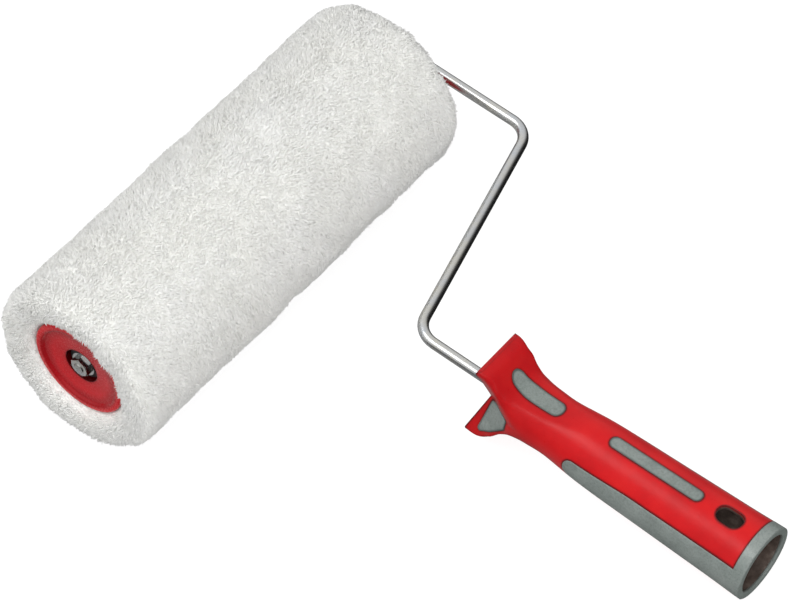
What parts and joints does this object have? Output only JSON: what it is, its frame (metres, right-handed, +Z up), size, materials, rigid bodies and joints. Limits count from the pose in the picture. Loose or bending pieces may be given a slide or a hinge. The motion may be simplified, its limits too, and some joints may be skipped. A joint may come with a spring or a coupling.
{
  "type": "paint roller",
  "caption": "Hand paint roller: long-pile sleeve with red end caps turning on a bent wire cage arm, and a red and grey ergonomic handle with a pole socket and hanging slot.",
  "frame": {"origin": "on the surface the roller lies on, under the middle of its bounding box", "axes": "+X along the sleeve's axis towards the elbow of the wire, +Y from the handle towards the sleeve, +Z up; the pile and the rear ring of the handle both touch Z = 0"},
  "size_m": [0.279, 0.3845, 0.1022],
  "materials": {
    "zinc_wire": "bright zinc-plated drawn steel wire",
    "zinc_hardware": "bright zinc-plated steel",
    "red_handle": "moulded red plastic, satin gloss",
    "grey_grip": "soft grey thermoplastic rubber, matt",
    "pile": "long off-white pile, matted tufts",
    "core": "plain moulded plastic tube",
    "red_cap": "moulded red plastic, satin gloss",
    "black_bush": "black plain-bearing plastic"
  },
  "bodies": {
    "frame": {"wire_frame": "zinc_wire", "lock_nut": "zinc_hardware", "outer_washer": "zinc_hardware", "thrust_washer": "zinc_hardware", "stop_collar": "zinc_hardware", "handle_body": "red_handle", "thumb_pad": "grey_grip", "top_grip_strip": "grey_grip", "finger_pad_left": "grey_grip", "finger_pad_right": "grey_grip", "rear_grip": "grey_grip"},
    "sleeve": {"pile_cover": "pile", "core_tube": "core", "outer_end_cap": "red_cap", "inner_end_cap": "red_cap", "outer_bush": "black_bush", "inner_bush": "black_bush"}
  },
  "joints": [
    {"name": "sleeve_spin", "type": "hinge", "parent": "frame", "child": "sleeve", "pos_m": [-0.01, 0.14124, 0.051], "axis": [1, 0, 0], "continuous": true}
  ]
}
